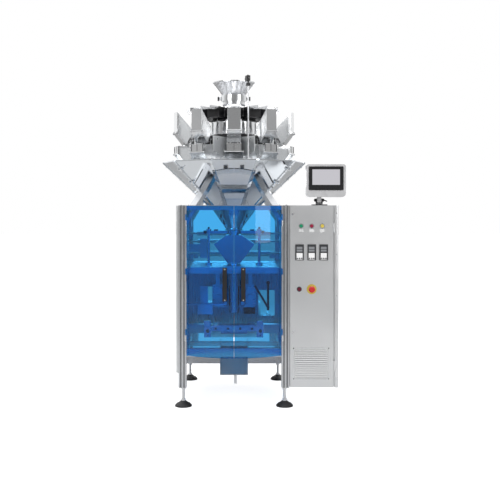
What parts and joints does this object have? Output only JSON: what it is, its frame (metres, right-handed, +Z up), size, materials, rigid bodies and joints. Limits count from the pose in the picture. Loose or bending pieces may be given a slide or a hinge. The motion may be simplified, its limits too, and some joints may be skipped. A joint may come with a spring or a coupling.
{
  "type": "multihead weigher",
  "caption": "Combination weigher with radial hoppers over a polished collecting funnel, standing on a vertical form-fill-seal bagging machine with curved clear doors and a side control cabinet.",
  "frame": {"origin": "middle of the bottom of the bounding box, on the floor", "axes": "+Z up, -Y to the front with the doors and the cabinet's controls, +X to the right seen from the front"},
  "size_m": [1.185, 1.4738, 2.092],
  "materials": {
    "frame_steel": "brushed stainless steel",
    "panel_steel": "brushed stainless sheet",
    "bright_steel": "fine ground stainless steel",
    "black_rubber": "matte",
    "belt_rubber": "matte",
    "aluminium": "satin",
    "dark_metal": "satin black",
    "white_plastic": "satin",
    "blue_acrylic": "clear tinted sheet",
    "black_plastic": "matte",
    "dark_plastic": "satin",
    "green_plastic": "gloss",
    "red_plastic": "gloss",
    "black_gloss": "gloss",
    "mirror_steel": "mirror polished stainless sheet",
    "hopper_steel": "dimpled stainless sheet",
    "film_white": "satin film"
  },
  "bodies": {
    "machine": {"corner_posts": "frame_steel", "frame_rails": "frame_steel", "side_panels": "panel_steel", "foot_spindles": "bright_steel", "foot_pads": "black_rubber", "door_hinges": "bright_steel", "table_plate": "panel_steel", "former_frame": "bright_steel", "forming_tube": "bright_steel", "forming_shoulder": "bright_steel", "pull_belts": "belt_rubber", "belt_units": "aluminium", "sealer_arm": "dark_metal", "utility_box": "white_plastic", "drive_motor": "dark_metal", "back_plate": "frame_steel", "film_rollers": "aluminium", "jaw_guide": "aluminium", "discharge_chute": "panel_steel", "cabinet_shell": "panel_steel", "screen_base": "dark_metal", "support_legs": "frame_steel", "collecting_funnel": "mirror_steel", "discharge_cone": "mirror_steel", "weigher_housing": "panel_steel", "housing_dome": "bright_steel", "drive_units": "panel_steel", "feed_hoppers": "hopper_steel", "weigh_hoppers": "hopper_steel", "fixed_gates": "hopper_steel", "feeder_pans": "hopper_steel", "vibrators": "black_plastic", "top_cone": "hopper_steel", "infeed_funnel": "hopper_steel", "infeed_collar": "bright_steel", "level_sensor": "bright_steel", "film_rack": "frame_steel", "film_roll": "film_white"},
    "front_jaw": {"front_jaw": "bright_steel"},
    "rear_jaw": {"rear_jaw": "bright_steel"},
    "left_door": {"left_door": "blue_acrylic", "left_door_handle": "black_plastic"},
    "right_door": {"right_door": "blue_acrylic", "right_door_handle": "black_plastic"},
    "cabinet_door": {"cabinet_door": "panel_steel", "temperature_controllers": "dark_plastic", "button_bezels": "dark_plastic"},
    "start_button": {"start_button": "green_plastic"},
    "stop_button": {"stop_button": "red_plastic"},
    "e_stop_button": {"e_stop_button": "red_plastic"},
    "screen_arm": {"screen_arm": "black_plastic"},
    "screen": {"screen_housing": "panel_steel", "screen_panel": "black_gloss"},
    "weigh_gate_1": {"weigh_gate_1": "hopper_steel"},
    "weigh_gate_2": {"weigh_gate_2": "hopper_steel"},
    "weigh_gate_3": {"weigh_gate_3": "hopper_steel"},
    "weigh_gate_4": {"weigh_gate_4": "hopper_steel"},
    "weigh_gate_5": {"weigh_gate_5": "hopper_steel"}
  },
  "joints": [
    {"name": "left_door_hinge", "type": "hinge", "parent": "machine", "child": "left_door", "pos_m": [-0.4215, -0.59105, 0.7955], "axis": [0, 0, -1], "range_deg": [0, 100]},
    {"name": "right_door_hinge", "type": "hinge", "parent": "machine", "child": "right_door", "pos_m": [0.1845, -0.59105, 0.7955], "axis": [0, 0, 1], "range_deg": [0, 100]},
    {"name": "cabinet_door_hinge", "type": "hinge", "parent": "machine", "child": "cabinet_door", "pos_m": [0.5105, -0.58505, 0.7], "axis": [0, 0, 1], "range_deg": [0, 110]},
    {"name": "start_press", "type": "slide", "parent": "cabinet_door", "child": "start_button", "axis": [0, 1, 0], "range_m": [0, 0.004], "stiffness_N_per_m": 300, "springref_m": -0.002},
    {"name": "stop_press", "type": "slide", "parent": "cabinet_door", "child": "stop_button", "axis": [0, 1, 0], "range_m": [0, 0.004], "stiffness_N_per_m": 300, "springref_m": -0.002},
    {"name": "e_stop_press", "type": "slide", "parent": "cabinet_door", "child": "e_stop_button", "axis": [0, 1, 0], "range_m": [0, 0.005]},
    {"name": "screen_swivel", "type": "hinge", "parent": "machine", "child": "screen_arm", "pos_m": [0.4255, -0.50806, 1.27], "axis": [0, 0, 1], "range_deg": [-60, 60]},
    {"name": "screen_tilt", "type": "hinge", "parent": "screen_arm", "child": "screen", "pos_m": [0.4255, -0.50806, 1.303], "axis": [1, 0, 0], "range_deg": [-20, 20]},
    {"name": "front_jaw_slide", "type": "slide", "parent": "machine", "child": "front_jaw", "axis": [0, -1, 0], "range_m": [0, 0.05]},
    {"name": "rear_jaw_slide", "type": "slide", "parent": "machine", "child": "rear_jaw", "axis": [0, 1, 0], "range_m": [0, 0.05]},
    {"name": "weigh_gate_1_swing", "type": "hinge", "parent": "machine", "child": "weigh_gate_1", "pos_m": [-0.49417, -0.40512, 1.603], "axis": [-0.309, 0.9511, 0], "range_deg": [0, 38], "stiffness_Nm_per_rad": 0.1, "springref_deg": -68.75},
    {"name": "weigh_gate_2_swing", "type": "hinge", "parent": "machine", "child": "weigh_gate_2", "pos_m": [-0.35068, -0.60262, 1.603], "axis": [-0.809, 0.5878, 0], "range_deg": [0, 38], "stiffness_Nm_per_rad": 0.1, "springref_deg": -68.75},
    {"name": "weigh_gate_3_swing", "type": "hinge", "parent": "machine", "child": "weigh_gate_3", "pos_m": [-0.1185, -0.67805, 1.603], "axis": [-1, 0, 0], "range_deg": [0, 38], "stiffness_Nm_per_rad": 0.1, "springref_deg": -68.75},
    {"name": "weigh_gate_4_swing", "type": "hinge", "parent": "machine", "child": "weigh_gate_4", "pos_m": [0.11367, -0.60262, 1.603], "axis": [-0.809, -0.5878, 0], "range_deg": [0, 38], "stiffness_Nm_per_rad": 0.1, "springref_deg": -68.75},
    {"name": "weigh_gate_5_swing", "type": "hinge", "parent": "machine", "child": "weigh_gate_5", "pos_m": [0.25717, -0.40512, 1.603], "axis": [-0.309, -0.9511, 0], "range_deg": [0, 38], "stiffness_Nm_per_rad": 0.1, "springref_deg": -68.75}
  ],
  "couplings": [
    {"joint": "rear_jaw_slide", "follows": "front_jaw_slide", "ratio": 1}
  ]
}
